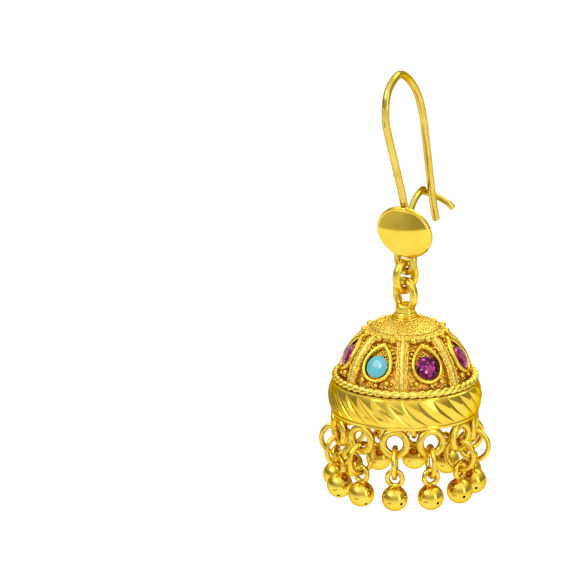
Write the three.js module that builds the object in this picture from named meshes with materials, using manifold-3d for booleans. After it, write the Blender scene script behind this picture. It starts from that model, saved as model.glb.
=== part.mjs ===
// A bell-shaped drop earring in gold-coloured cast metal, in millimetres, +Z up.
// The origin is the inner top of the ear wire, where it hangs in the ear.
// The disc and the front of the bell face -Y, and the ear wire lies in the plane X = 0.

import * as THREE from "three";
import { mergeVertices } from "three/addons/utils/BufferGeometryUtils.js";
import Module from "manifold-3d";

const wasm = await Module();
wasm.setup();

// Clearances
const linkGap = 0.1; // between two rings that hang in each other
const stoneGap = 0.15; // all round a stone in its setting
const catchGap = 0.25; // between the catch and the wire that it holds
const solderDepth = 0.15; // how far soldered pieces sink into each other

// Ear wire
const wireDiameter = 0.9;
const wireHeight = 15.9;
const wireDepth = 15.2;
const wireSides = 8;
const wireSteps = 32;

// The wire's middle line from the disc's top edge over the crown to its free end.
// back is a share of wireDepth behind the crown, up a share of wireHeight.
const wireRoute = [
  { back: 0.138, up: 0 },
  { back: -0.047, up: 0.359 },
  { back: -0.145, up: 0.539 },
  { back: -0.218, up: 0.69 },
  { back: -0.222, up: 0.84 },
  { back: -0.161, up: 0.938 },
  { back: 0, up: 1 },
  { back: 0.13, up: 0.974 },
  { back: 0.363, up: 0.81 },
  { back: 0.486, up: 0.624 },
  { back: 0.57, up: 0.367 },
  { back: 0.66, up: 0.05 },
  { back: 0.72, up: -0.139 },
  { back: 0.772, up: -0.262 },
];

// Disc in front of the wire
const discDiameter = 6.85;
const discThickness = 0.5;
const discCrown = 0.14;
const discSides = 24;
const discTilt = THREE.MathUtils.degToRad(17);
const discBack = 2.4; // its centre, behind the crown
const discDrop = 3.47; // its centre, under the foot of the wire route

// Catch that the wire's free end rests in
const catchDiameter = 0.75;
const catchSides = 6;
const catchSteps = 14;
const catchDrop = 1.8; // how far the catch reaches under the wire's foot

// The catch's middle line from the wire's foot past the free end, which it passes on its -X side.
// side is a share of the clear distance to the free end, back a share of the way to it, and up
// a share of catchDrop.
const catchRoute = [
  { side: 0.09, back: 0.051, up: -0.97 },
  { side: 0.23, back: 0.13, up: -0.67 },
  { side: 0.19, back: 0.32, up: -0.05 },
  { side: 0.05, back: 0.54, up: 0.18 },
  { side: -0.4, back: 0.77, up: 0.03 },
  { side: -1, back: 0.943, up: -0.38 },
  { side: -0.75, back: 1.079, up: -0.66 },
  { side: 0.09, back: 1.146, up: -0.84 },
  { side: 1.1, back: 1.176, up: -1.1 },
  { side: 1.6, back: 1.194, up: -1.5 },
];

// Chain of three rings, each turned square to the next
const chainBack = 4.15;
const chainSide = -0.62;
const chainDrop = 7.25;
const chainTurn = THREE.MathUtils.degToRad(-22.5);
const bailHole = 2.0;
const bailWire = 0.92;
const linkHole = 2.4;
const linkWire = 0.92;
const topRingHole = 2.2;
const topRingWire = 0.95;
const chainNarrow = 0.88; // how wide a chain ring is for its height
const chainSides = 12;

// Dome of the bell
const domeRadius = 8.15;
const domeWall = 0.7;
const reliefHeight = 0.75;
const domeSectors = 7;
const sectorTurn = THREE.MathUtils.degToRad(-5.9); // the front stone, from -Y
const domeSides = 28;
const domeRows = 4;

// Cap, bead ring and stem on the dome
const capRadius = 4.8;
const capStepRadius = 3.6;
const capStepHeight = 0.18;
const beadDiameter = 0.72;
const beadRadius = 4.85;
const beadTurn = THREE.MathUtils.degToRad(11); // from the middle of a setting to the bead on each side
const flangeRadius = 1.65;
const flangeHeight = 0.2;
const stemFoot = 1.3;
const stemNeck = 1;
const stemRise = 10.95; // centre of the top ring above the dome's centre

// Straps and teardrop settings
const strapWidth = 0.9;
const settingLatitude = THREE.MathUtils.degToRad(29.6);
const settingWidth = 3.1;
const settingRim = 0.32;
const settingPoint = 2.5; // inner point of the teardrop above the stone's centre
const settingHeight = 0.78;
const granuleDiameter = 0.62;

// Stones
const stoneSides = 8;
const stoneHeight = 0.62;
const girdleShare = 0.42; // height of the widest place in a cut stone
const tableShare = 0.6;
const cabochonSides = 10;

// Rope ring
const ropeRise = 1;
const ropeRadius = 8.15;
const ropeDiameter = 0.86;
const ropeStrands = 48;
const ropeGroove = 0.2; // share of the rope's radius
const ropeSides = 5;

// Band
const bandTop = 0.66;
const bandBottom = -3.2;
const bandTopRadius = 8.52;
const bandBulgeRadius = 9.08;
const bandBottomRadius = 8.72;
const bandWall = 0.9;
const bandStep = 0.5; // the band's top inside the dome's inner wall
const lipHeight = 0.5;
const fluteCount = 24;
const fluteDepth = 0.42;
const fluteLean = THREE.MathUtils.degToRad(-21);
const fluteHalf = 0.46; // half a flute's width, as a share of the step between flutes
const keelShift = 0.16; // the keel to one side of a flute's middle, as a share of that step
const fluteRows = 4;

// Rim rings, drop links and ball drops
const dropCount = 12;
const rimRingInset = 0.52; // the rim rings' circle inside the band's bottom edge
const rimRingHole = 1.95;
const rimRingWire = 0.82;
const rimRingSink = 0.14; // how far the rim rings reach into the band
const dropLinkHole = 2.9;
const dropLinkWire = 0.64;
const eyeHole = 1.15;
const eyeWire = 0.64;
const ballDiameter = 3.06;
const ballSides = 10;
const ballRows = 6;
const smallRingSides = 10;
const smallWireSides = 5;

// How far each link and each ball is turned about the upright, in degrees.
const dropTurns = [
  { link: 4, ball: -6 },
  { link: -9, ball: 8 },
  { link: 12, ball: 3 },
  { link: -5, ball: -10 },
  { link: 8, ball: 5 },
  { link: -12, ball: -4 },
];

// Worked-out places
const floorRadius = domeRadius - reliefHeight;
const innerRadius = floorRadius - domeWall;
const wireFoot = wireDiameter / 2 - wireHeight;
const discHeight = wireFoot - discDrop;
const bailHeight = wireFoot - chainDrop;
const linkHeight = bailHeight - (bailHole + linkHole) / 2 + linkGap;
const topRingHeight = linkHeight - (linkHole + topRingHole) / 2 + linkGap;
const domeHeight = topRingHeight - stemRise;
const sectorAngle = (2 * Math.PI) / domeSectors;
const dropAngle = (2 * Math.PI) / dropCount;
const dropPitchRadius = bandBottomRadius - rimRingInset;

// Materials
const finish = (color, roughness, metalness) =>
  new THREE.MeshStandardMaterial({ color, roughness, metalness, flatShading: true });
const gold = finish(0xe8b93c, 0.22, 1);
const castGold = finish(0xdba838, 0.38, 1);
const turquoise = finish(0x3fb8b4, 0.25, 0);
const pinkGlass = finish(0xc22a70, 0.08, 0);

// Shared helpers

// Turns a closed geometry into a solid, without the triangles that shrink to a line at an axis.
function solidOf(geometry) {
  const bare = geometry.clone();
  bare.deleteAttribute("normal");
  bare.deleteAttribute("uv");
  const merged = mergeVertices(bare, 1e-4);
  const corners = merged.index.array;
  const kept = [];
  for (let i = 0; i < corners.length; i += 3) {
    const [a, b, c] = [corners[i], corners[i + 1], corners[i + 2]];
    if (a !== b && b !== c && c !== a) kept.push(a, b, c);
  }
  return new wasm.Manifold(new wasm.Mesh({
    numProp: 3,
    vertProperties: Float32Array.from(merged.attributes.position.array),
    triVerts: Uint32Array.from(kept),
  }));
}

const join = (solids) => solids.reduce((sum, next) => sum.add(next));

function piece(name, solid, material) {
  const { vertProperties, triVerts } = solid.getMesh();
  const geometry = new THREE.BufferGeometry();
  geometry.setAttribute("position", new THREE.BufferAttribute(vertProperties, 3));
  geometry.setIndex(new THREE.BufferAttribute(triVerts, 1));
  geometry.computeVertexNormals();
  const mesh = new THREE.Mesh(geometry, material);
  mesh.name = name;
  return mesh;
}

// A round section with the given number of sides, as points.
const circle = (sides, radius) => Array.from({ length: sides }, (_, i) => {
  const angle = (i / sides) * 2 * Math.PI;
  return new THREE.Vector2(radius * Math.cos(angle), radius * Math.sin(angle));
});

// A wire of even thickness along a smooth curve through the points.
function wire(points, diameter, sides, steps) {
  const path = new THREE.CatmullRomCurve3(points, false, "centripetal");
  const section = new THREE.Shape(circle(sides, diameter / 2));
  return new THREE.ExtrudeGeometry(section, { steps, extrudePath: path, bevelEnabled: false });
}

// An upright ring with its hole seen from -Y, with a corner of its outline straight above its centre.
const ring = (hole, thickness, wireFaces, sides) =>
  new THREE.TorusGeometry((hole + thickness) / 2, thickness / 2, wireFaces, sides)
    .rotateZ(Math.PI / 2)
    .rotateX(Math.PI / 2);

// A ring of the chain, higher than wide.
const chainRing = (hole, thickness) =>
  ring(hole, thickness, 6, chainSides).scale(chainNarrow, 1, 1);

// A closed profile of { radius, height } turned about the upright.
const turned = (profile, sides) => {
  const points = profile.map(({ radius, height }) => new THREE.Vector2(radius, height));
  return new THREE.LatheGeometry(points, sides).rotateX(Math.PI / 2);
};

// Ear wire, disc, catch and bail

// A point on the disc: along it from its centre towards its top edge, and out behind it.
const behindDisc = (side, along, behind) => new THREE.Vector3(
  side,
  discBack - along * Math.sin(discTilt) + behind * Math.cos(discTilt),
  discHeight + along * Math.cos(discTilt) + behind * Math.sin(discTilt),
);

const routePoint = ({ back, up }) =>
  new THREE.Vector3(0, back * wireDepth, wireFoot + up * wireHeight);

function earWire() {
  const seat = (discThickness + wireDiameter) / 2 - solderDepth;
  const solderedFoot = [
    behindDisc(0, -0.7 * discDiameter / 2, seat + solderDepth / 2),
    behindDisc(0, 0, seat),
  ];
  const points = [...solderedFoot, ...wireRoute.map(routePoint)];
  return solidOf(wire(points, wireDiameter, wireSides, wireSteps));
}

function disc() {
  const radius = discDiameter / 2;
  const half = discThickness / 2;
  const profile = [
    { radius: 0, height: -half },
    { radius: radius - half / 2, height: -half },
    { radius, height: -half / 2 },
    { radius, height: half / 2 },
    { radius: radius - half / 2, height: half },
    { radius: 0, height: half + discCrown },
  ];
  return solidOf(turned(profile, discSides)
    .rotateX(Math.PI / 2 + discTilt)
    .translate(0, discBack, discHeight));
}

function catchHook() {
  const start = routePoint(wireRoute[0]);
  const freeEnd = routePoint(wireRoute.at(-2));
  const reach = (wireDiameter + catchDiameter) / 2 + catchGap;
  const points = catchRoute.map(({ side, back, up }) => new THREE.Vector3(
    side * reach,
    start.y + back * (freeEnd.y - start.y),
    start.z + up * catchDrop,
  ));
  return solidOf(wire(points, catchDiameter, catchSides, catchSteps));
}

function bail() {
  return solidOf(chainRing(bailHole, bailWire)
    .rotateZ(chainTurn)
    .translate(chainSide, chainBack, bailHeight));
}

// Bell

// Lays a flat relief on the dome: x runs across, y up and z out from the recessed floor.
function layOnDome(geometry, azimuth, latitude) {
  const place = geometry.attributes.position;
  for (let i = 0; i < place.count; i += 1) {
    const across = place.getX(i);
    const upward = place.getY(i);
    const outward = Math.sqrt(domeRadius ** 2 - across ** 2 - upward ** 2);
    const stretch = (floorRadius + place.getZ(i)) / domeRadius;
    place.setXYZ(i, across * stretch, upward * stretch, outward * stretch);
  }
  return geometry.rotateX(Math.PI / 2 - latitude).rotateZ(azimuth);
}

// The hollow dome with its cap, as one turned profile from the inside up and over.
function domeShell() {
  const arc = (foot, top) =>
    Array.from({ length: domeRows + 1 }, (_, i) => foot + (i / domeRows) * (top - foot));
  const footHeight = bandTop - 2 * solderDepth;
  const wallFoot = Math.asin((ropeRise + ropeDiameter / 4) / floorRadius);
  const inside = arc(Math.asin(footHeight / innerRadius), Math.PI / 2).slice(0, domeRows).map((angle) => ({
    radius: innerRadius * Math.cos(angle),
    height: innerRadius * Math.sin(angle),
  }));
  const capEdge = Math.acos(capRadius / floorRadius);
  const outside = arc(wallFoot, capEdge).map((angle) => ({
    radius: floorRadius * Math.cos(angle),
    height: floorRadius * Math.sin(angle),
  }));
  const onCap = (radius, lift) => ({ radius, height: Math.sqrt(domeRadius ** 2 - radius ** 2) + lift });
  const cap = [
    onCap(capRadius, 0),
    onCap(capStepRadius, 0),
    onCap(capStepRadius - capStepHeight, capStepHeight),
    onCap(flangeRadius, capStepHeight),
    { radius: 0, height: domeRadius + capStepHeight },
  ];
  const shelf = [
    { radius: ropeRadius, height: footHeight },
    { radius: ropeRadius, height: ropeRise },
  ];
  const crown = { radius: 0, height: innerRadius };
  const profile = [...shelf, ...outside, ...cap, crown, ...inside.reverse()];
  return solidOf(turned([...profile, profile[0]], domeSides));
}

function stem() {
  const foot = domeRadius;
  const neck = stemRise - topRingHole / 2 - topRingWire / 2;
  const profile = [
    { radius: 0, height: foot - domeWall / 2 },
    { radius: flangeRadius, height: foot - domeWall / 2 },
    { radius: flangeRadius, height: foot + flangeHeight },
    { radius: stemFoot, height: foot + flangeHeight },
    { radius: stemNeck, height: neck },
    { radius: 0, height: neck },
  ];
  const topRing = chainRing(topRingHole, topRingWire)
    .rotateZ(chainTurn)
    .translate(0, 0, stemRise);
  return solidOf(turned(profile, chainSides)).add(solidOf(topRing));
}

// Two beads on the edge of the cap, one on each side of a setting's tip.
function capBeads(azimuth) {
  const height = Math.sqrt(domeRadius ** 2 - beadRadius ** 2) - solderDepth;
  return [-beadTurn, beadTurn].map((aside) => solidOf(
    new THREE.IcosahedronGeometry(beadDiameter / 2, 0)
      .translate(0, -beadRadius, height)
      .rotateZ(azimuth + aside),
  ));
}

// A strap down the dome between two settings, from the cap to the rope.
function strap(azimuth) {
  const top = Math.acos((capRadius - solderDepth) / domeRadius);
  const foot = Math.asin(ropeRise / domeRadius);
  const outline = new THREE.Shape();
  outline.absarc(0, 0, domeRadius, foot, top, false);
  outline.absarc(0, 0, floorRadius - domeWall / 2, top, foot, true);
  return solidOf(new THREE.ExtrudeGeometry(outline, {
    depth: strapWidth, steps: 1, curveSegments: 3, bevelEnabled: false,
  })
    .translate(0, 0, -strapWidth / 2)
    .rotateX(Math.PI / 2)
    .rotateZ(azimuth - Math.PI / 2));
}

// A teardrop outline: a round foot about the stone's centre and a point above it.
function teardrop(target, radius, point) {
  const tangent = Math.acos(radius / point);
  target.absarc(0, 0, radius, Math.PI / 2 + tangent, 2.5 * Math.PI - tangent, false);
  target.lineTo(0, point);
  return target;
}

function setting(azimuth) {
  const inner = settingWidth / 2;
  const outer = inner + settingRim;
  const outline = teardrop(new THREE.Shape(), outer, settingPoint * (outer / inner));
  outline.holes.push(teardrop(new THREE.Path(), inner, settingPoint));
  const rim = new THREE.ExtrudeGeometry(outline, {
    depth: settingHeight + domeWall / 2, steps: 1, curveSegments: 5, bevelEnabled: false,
  }).translate(0, 0, -domeWall / 2);
  return solidOf(layOnDome(rim, azimuth, settingLatitude));
}

// Granules round each setting: across is a share of the setting's outer half width, up is in
// shares of its inner point.
const granules = [
  { across: 0, up: 0.78 },
  { across: -0.86, up: -0.8 },
  { across: 0.86, up: -0.8 },
];

function settingGranules(azimuth) {
  const halfWidth = settingWidth / 2 + settingRim;
  return granules.map(({ across, up }) => {
    const grain = new THREE.IcosahedronGeometry(granuleDiameter / 2, 0);
    grain.translate(across * halfWidth, up * settingPoint, granuleDiameter * 0.2);
    return solidOf(layOnDome(grain, azimuth, settingLatitude));
  });
}

// A twisted rope: its grid leans with the strands, and every second row of the grid is a groove.
function ropeRing() {
  const steps = ropeStrands * 2;
  const rope = new THREE.TorusGeometry(ropeRadius, ropeDiameter / 2, ropeSides, steps);
  const lean = (Math.PI / ropeStrands) * 0.9;
  const place = rope.attributes.position;
  for (let j = 0; j <= ropeSides; j += 1) {
    const roll = (j / ropeSides) * 2 * Math.PI;
    for (let i = 0; i <= steps; i += 1) {
      const depth = i % 2 === 0 ? 1 : 1 - ropeGroove;
      const reach = ropeRadius + (ropeDiameter / 2) * depth * Math.cos(roll);
      const angle = (i / steps) * 2 * Math.PI + lean * Math.sin(roll);
      const height = (ropeDiameter / 2) * depth * Math.sin(roll);
      place.setXYZ(j * (steps + 1) + i, reach * Math.cos(angle), reach * Math.sin(angle), height);
    }
  }
  return solidOf(rope.translate(0, 0, ropeRise));
}

// The band's outer radius at a height, bulging between its two lips.
function bandRadius(height) {
  const share = (bandTop - height) / (bandTop - bandBottom);
  const straight = bandTopRadius + (bandBottomRadius - bandTopRadius) * share;
  const bulge = bandBulgeRadius - (bandTopRadius + bandBottomRadius) / 2;
  return straight + bulge * Math.sin(Math.PI * Math.min(1, share * 1.12)) ** 0.8;
}

// The band: three columns a flute, its two edges and its keel, which lean round the band and
// meet in a point at the top and bottom of the flute.
function band() {
  const fluteTop = bandTop - lipHeight * 0.5;
  const fluteBottom = bandBottom + lipHeight;
  const rows = Array.from({ length: fluteRows + 1 }, (_, i) =>
    fluteTop + (fluteBottom - fluteTop) * (i / fluteRows));
  const innerTop = innerRadius + bandStep;
  const innerBottom = bandBottomRadius - bandWall;
  const profile = [
    { radius: innerBottom, height: bandBottom },
    { radius: bandBottomRadius, height: bandBottom },
    ...rows.toReversed().map((height) => ({ radius: bandRadius(height), height })),
    { radius: bandTopRadius, height: bandTop },
    { radius: innerTop, height: bandTop },
    { radius: innerBottom, height: bandBottom },
  ];
  const columns = fluteCount * 3;
  const geometry = turned(profile, columns);
  const place = geometry.attributes.position;
  const firstRow = 2;
  for (let i = 0; i <= columns; i += 1) {
    const part = (i % 3) - 1; // -1 left edge, 0 keel, 1 right edge
    const flute = (i - (i % 3)) / 3;
    for (let row = 0; row <= fluteRows; row += 1) {
      const share = row / fluteRows; // from the bottom of the flute up
      const swell = Math.max(0.12, Math.sin(Math.PI * share));
      const { radius, height } = profile[firstRow + row];
      const depth = part === 0 ? fluteDepth * Math.sin(Math.PI * share) : 0;
      const aside = part === 0 ? -keelShift : part * fluteHalf;
      const turn = (flute + 0.5 + aside * swell) / fluteCount;
      const angle = turn * 2 * Math.PI + fluteLean * (share - 0.5);
      place.setXYZ(
        i * profile.length + firstRow + row,
        (radius - depth) * Math.sin(angle),
        (depth - radius) * Math.cos(angle),
        height,
      );
    }
  }
  return solidOf(geometry);
}

const rimRingHeight = bandBottom - (rimRingHole / 2 + rimRingWire) + rimRingSink;

function rimRing(azimuth) {
  return solidOf(ring(rimRingHole, rimRingWire, smallWireSides, smallRingSides)
    .translate(0, -dropPitchRadius, rimRingHeight)
    .rotateZ(azimuth));
}

function bell() {
  const sectors = Array.from({ length: domeSectors }, (_, i) => sectorTurn + i * sectorAngle);
  const drops = Array.from({ length: dropCount }, (_, i) => (i + 0.5) * dropAngle);
  return join([
    domeShell(),
    stem(),
    ...sectors.flatMap(capBeads),
    ...sectors.map((azimuth) => strap(azimuth + sectorAngle / 2)),
    ...sectors.map(setting),
    ...sectors.flatMap(settingGranules),
    ropeRing(),
    band(),
    ...drops.map(rimRing),
  ]);
}

// Stones, each with its centre axis along +Z

const stoneBase = floorRadius + stoneGap;
const girdleRise = stoneHeight * girdleShare;
const stoneRadius = (settingWidth / 2) * ((stoneBase + girdleRise) / domeRadius) - stoneGap;

function cutStone() {
  const profile = [
    { radius: 0, height: 0 },
    { radius: stoneRadius * 0.72, height: 0 },
    { radius: stoneRadius, height: girdleRise },
    { radius: stoneRadius, height: girdleRise + stoneHeight * 0.12 },
    { radius: stoneRadius * tableShare, height: stoneHeight },
    { radius: 0, height: stoneHeight },
  ];
  return solidOf(turned(profile, stoneSides));
}

function cabochon() {
  const dome = Array.from({ length: 4 }, (_, i) => (i / 4) * (Math.PI / 2)).map((angle) => ({
    radius: stoneRadius * Math.cos(angle),
    height: stoneHeight * (0.35 + 0.75 * Math.sin(angle)),
  }));
  const profile = [
    { radius: 0, height: 0 },
    { radius: stoneRadius * 0.9, height: 0 },
    ...dome,
    { radius: 0, height: stoneHeight * 1.1 },
  ];
  return solidOf(turned(profile, cabochonSides));
}

// Drops

function ballDrop() {
  const eyeRise = (eyeHole + eyeWire) / 2;
  const eye = ring(eyeHole, eyeWire, smallWireSides, 10);
  const sphere = new THREE.SphereGeometry(ballDiameter / 2, ballSides, ballRows)
    .rotateX(Math.PI / 2)
    .translate(0, 0, -(eyeRise + ballDiameter / 2));
  return solidOf(eye).add(solidOf(sphere));
}

// Assembly

const earring = new THREE.Group();

earring.add(piece("ear_hook", join([earWire(), disc(), catchHook(), bail()]), gold));

const chain = new THREE.Group();
chain.position.set(chainSide, chainBack, 0);
earring.add(chain);

const jumpLink = piece("jump_link", solidOf(chainRing(linkHole, linkWire)), gold);
jumpLink.position.z = linkHeight;
jumpLink.rotation.z = chainTurn + Math.PI / 2;
chain.add(jumpLink);

const bellGroup = new THREE.Group();
bellGroup.position.z = domeHeight;
chain.add(bellGroup);
bellGroup.add(piece("bell", bell(), castGold));

// Every fourth stone is a turquoise cabochon and the others are cut pink stones.
let crystals = 0;
let cabochons = 0;
for (let i = 0; i < domeSectors; i += 1) {
  const isCabochon = i % 4 === 0;
  const name = isCabochon ? `turquoise_${(cabochons += 1)}` : `crystal_${(crystals += 1)}`;
  const stone = isCabochon
    ? piece(name, cabochon(), turquoise)
    : piece(name, cutStone(), pinkGlass);
  stone.position.z = stoneBase;
  const seat = new THREE.Group();
  seat.rotation.set(Math.PI / 2 - settingLatitude, 0, sectorTurn + i * sectorAngle, "ZYX");
  seat.add(stone);
  bellGroup.add(seat);
}

const dropLinkHeight = rimRingHeight - (rimRingHole + dropLinkHole) / 2 + linkGap;
const eyeHeight = dropLinkHeight - (dropLinkHole + eyeHole) / 2 + linkGap;
for (let i = 0; i < dropCount; i += 1) {
  const number = String(i + 1).padStart(2, "0");
  const turns = dropTurns[i % dropTurns.length];
  const hanging = new THREE.Group();
  hanging.rotation.z = (i + 0.5) * dropAngle;
  bellGroup.add(hanging);

  const link = piece(
    `drop_link_${number}`,
    solidOf(ring(dropLinkHole, dropLinkWire, smallWireSides, smallRingSides)),
    gold,
  );
  link.position.set(0, -dropPitchRadius, dropLinkHeight);
  link.rotation.z = Math.PI / 2 + THREE.MathUtils.degToRad(turns.link);
  hanging.add(link);

  const drop = piece(`bead_drop_${number}`, ballDrop(), gold);
  drop.position.set(0, -dropPitchRadius, eyeHeight);
  drop.rotation.z = THREE.MathUtils.degToRad(turns.ball);
  hanging.add(drop);
}

export default earring;
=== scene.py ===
"""A bell-shaped drop earring in polished and granulated gold, with its studio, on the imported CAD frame."""

import math

import bmesh
import bpy
import numpy as np
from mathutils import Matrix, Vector


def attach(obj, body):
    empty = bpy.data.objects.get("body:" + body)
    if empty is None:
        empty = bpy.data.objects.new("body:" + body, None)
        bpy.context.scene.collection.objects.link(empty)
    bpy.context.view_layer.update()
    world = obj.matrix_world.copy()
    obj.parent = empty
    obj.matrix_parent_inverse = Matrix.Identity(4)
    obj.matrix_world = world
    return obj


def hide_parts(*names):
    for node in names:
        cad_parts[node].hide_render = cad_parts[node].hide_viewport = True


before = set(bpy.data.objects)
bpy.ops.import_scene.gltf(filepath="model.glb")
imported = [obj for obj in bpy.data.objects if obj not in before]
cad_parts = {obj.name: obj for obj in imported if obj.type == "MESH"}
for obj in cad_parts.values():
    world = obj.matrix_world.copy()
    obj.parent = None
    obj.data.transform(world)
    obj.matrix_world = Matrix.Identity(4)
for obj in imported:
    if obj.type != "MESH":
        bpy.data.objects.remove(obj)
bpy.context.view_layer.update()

MM = 0.001

# Sizes in millimetres, from the CAD source. The disc's crown, the end of the catch and the thickness of the
# chain and rim rings are drawn a little nearer to the real piece.
WIRE, WIRE_HEIGHT, WIRE_DEPTH = 0.9, 15.9, 15.2
WIRE_ROUTE = [  # back and up, as shares of the wire's depth and height
    (0.138, 0), (-0.047, 0.359), (-0.145, 0.539), (-0.218, 0.69), (-0.222, 0.84), (-0.161, 0.938), (0, 1),
    (0.13, 0.974), (0.363, 0.81), (0.486, 0.624), (0.57, 0.367), (0.66, 0.05), (0.72, -0.139),
    (0.772, -0.262)]
WIRE_FOOT = WIRE / 2 - WIRE_HEIGHT
FOOT_REACH, FOOT_LIFT = 0.7, 0.075  # share of the disc that the wire's foot runs down, and its lift there
DISC, DISC_THICK, DISC_CROWN, DISC_TILT = 6.85, 0.5, 0.3, math.radians(17)
DISC_ROUNDING, SOLDER = 0.14, 0.15
DISC_BACK, DISC_Z = 2.4, WIRE_FOOT - 3.47
CATCH, CATCH_DROP, CATCH_GAP = 0.75, 1.8, 0.25
CATCH_ROUTE = [  # side, back and up: shares of the reach beside the wire, the way to its free end, the drop
    (0.09, 0.051, -0.97), (0.23, 0.13, -0.67), (0.19, 0.32, -0.05), (0.05, 0.54, 0.18), (-0.4, 0.77, 0.03),
    (-1, 0.943, -0.38), (-0.75, 1.079, -0.66), (0.09, 1.146, -0.95), (1.1, 1.176, -1.3), (1.6, 1.194, -1.6)]
CHAIN = np.array([-0.62, 4.15, 0.0])
CHAIN_TURN, CHAIN_NARROW = math.radians(-22.5), 0.88
BAIL, LINK, TOP_RING = (2.0, 0.98), (2.4, 1.0), (2.2, 1.05)  # rings as (hole, wire)
RIM_RING, RIM_RING_LOOK, DROP_LINK, EYE = (1.95, 0.82), (1.88, 0.94), (2.9, 0.64), (1.15, 0.64)
BALL = 3.06
PLAY = 0.1  # between a ring and the next one
WOBBLE = 0.03  # how uneven a cast ring's wire is
BAIL_Z = WIRE_FOOT - 7.25
LINK_Z = BAIL_Z - (BAIL[0] + LINK[0]) / 2 + PLAY
TOP_RING_Z = LINK_Z - (LINK[0] + TOP_RING[0]) / 2 + PLAY
STEM_RISE = 10.95
BELL = CHAIN + np.array([0, 0, TOP_RING_Z - STEM_RISE])
DOME, FLOOR, INNER = 8.15, 7.4, 6.7
SECTORS, SECTOR_TURN = 7, math.radians(-5.9)
LATITUDE = math.radians(29.6)
OPENING, RIM, POINT = 1.55, 0.32, 2.5
BAND_TOP, BAND_BOTTOM = 0.66, -3.2
DROPS, PITCH_RADIUS = 12, 8.2
RIM_RING_SINK = 0.14
RIM_RING_Z = BAND_BOTTOM - (RIM_RING[0] / 2 + RIM_RING[1]) + RIM_RING_SINK
DROP_LINK_Z = RIM_RING_Z - (RIM_RING[0] + DROP_LINK[0]) / 2 + PLAY
EYE_Z = DROP_LINK_Z - (DROP_LINK[0] + EYE[0]) / 2 + PLAY
TURNS = [(4, -6), (-9, 8), (12, 3), (-5, -10), (8, 5), (-12, -4)]  # degrees, of a drop link and its ball


# Mesh code

def turn(points, angle):
    """Points turned about the upright."""
    c, s = math.cos(angle), math.sin(angle)
    p = np.asarray(points, float)
    return np.stack([p[:, 0] * c - p[:, 1] * s, p[:, 0] * s + p[:, 1] * c, p[:, 2]], 1)


def tip(points, angle):
    """Points turned about the X axis."""
    c, s = math.cos(angle), math.sin(angle)
    p = np.asarray(points, float)
    return np.stack([p[:, 0], p[:, 1] * c - p[:, 2] * s, p[:, 1] * s + p[:, 2] * c], 1)


def polar(radius, angle, height):
    """A point beside the upright, at an angle that is counted from the -Y side."""
    return radius * math.sin(angle), -radius * math.cos(angle), height


def circle_angles(count):
    return np.arange(count) / count * 2 * math.pi


def grid_faces(rows, columns, wrap_rows, wrap_columns):
    """Quads between neighbouring rows and columns of points that are listed row by row."""
    faces = []
    for i in range(rows if wrap_rows else rows - 1):
        for j in range(columns if wrap_columns else columns - 1):
            a, b = i * columns + j, i * columns + (j + 1) % columns
            c, d = ((i + 1) % rows) * columns + (j + 1) % columns, ((i + 1) % rows) * columns + j
            faces.append((a, b, c, d))
    return faces


def add_object(name, data):
    obj = bpy.data.objects.new(name, data)
    bpy.context.scene.collection.objects.link(obj)
    return obj


class Shape:
    """Vertices and faces that are gathered into one piece."""

    def __init__(self):
        self.points, self.faces, self.count = [], [], 0

    def add(self, points, faces):
        self.points.append(np.asarray(points, float))
        self.faces += [tuple(i + self.count for i in f) for f in faces]
        self.count += len(points)
        return self

    def piece(self, name, material, body, slot, stands_for=(), sharp=None, at=(0, 0, 0)):
        """Makes the object, moved by at. Edges beyond sharp degrees stay sharp."""
        points = (np.concatenate(self.points) + np.asarray(at)) * MM
        mesh = bpy.data.meshes.new(name)
        mesh.from_pydata(points.tolist(), [], self.faces)
        mesh.validate()
        sheet = bmesh.new()
        sheet.from_mesh(mesh)
        bmesh.ops.recalc_face_normals(sheet, faces=sheet.faces)
        sheet.to_mesh(mesh)
        sheet.free()
        mesh.polygons.foreach_set("use_smooth", [True] * len(mesh.polygons))
        if sharp:
            mesh.set_sharp_from_angle(angle=math.radians(sharp))
        obj = add_object(name, mesh)
        mesh.materials.append(material)
        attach(obj, body)
        if stands_for:
            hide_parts(*stands_for)
        return obj


def blend(at, low, high, first, second):
    """What lies between first and second as at lies between low and high."""
    return (high - at) / (high - low) * first + (at - low) / (high - low) * second


def smooth_route(points, steps):
    """A centripetal Catmull-Rom curve through the points, at even lengths."""
    p = [np.asarray(q, float) for q in points]
    p = [2 * p[0] - p[1]] + p + [2 * p[-1] - p[-2]]
    out = []
    for i in range(1, len(p) - 2):
        t = [0.0]
        for k in range(3):
            t.append(t[-1] + max(1e-6, np.linalg.norm(p[i + k] - p[i + k - 1])) ** 0.5)
        for u in np.linspace(t[1], t[2], 24, endpoint=False):
            a = [blend(u, t[k], t[k + 1], p[i + k - 1], p[i + k]) for k in range(3)]
            b = [blend(u, t[k], t[k + 2], a[k], a[k + 1]) for k in range(2)]
            out.append(blend(u, t[1], t[2], *b))
    out = np.array(out + [p[-2]])
    length = np.concatenate([[0], np.cumsum(np.linalg.norm(np.diff(out, axis=0), axis=1))])
    at = np.linspace(0, length[-1], steps)
    return np.stack([np.interp(at, length, out[:, k]) for k in range(3)], 1)


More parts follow.
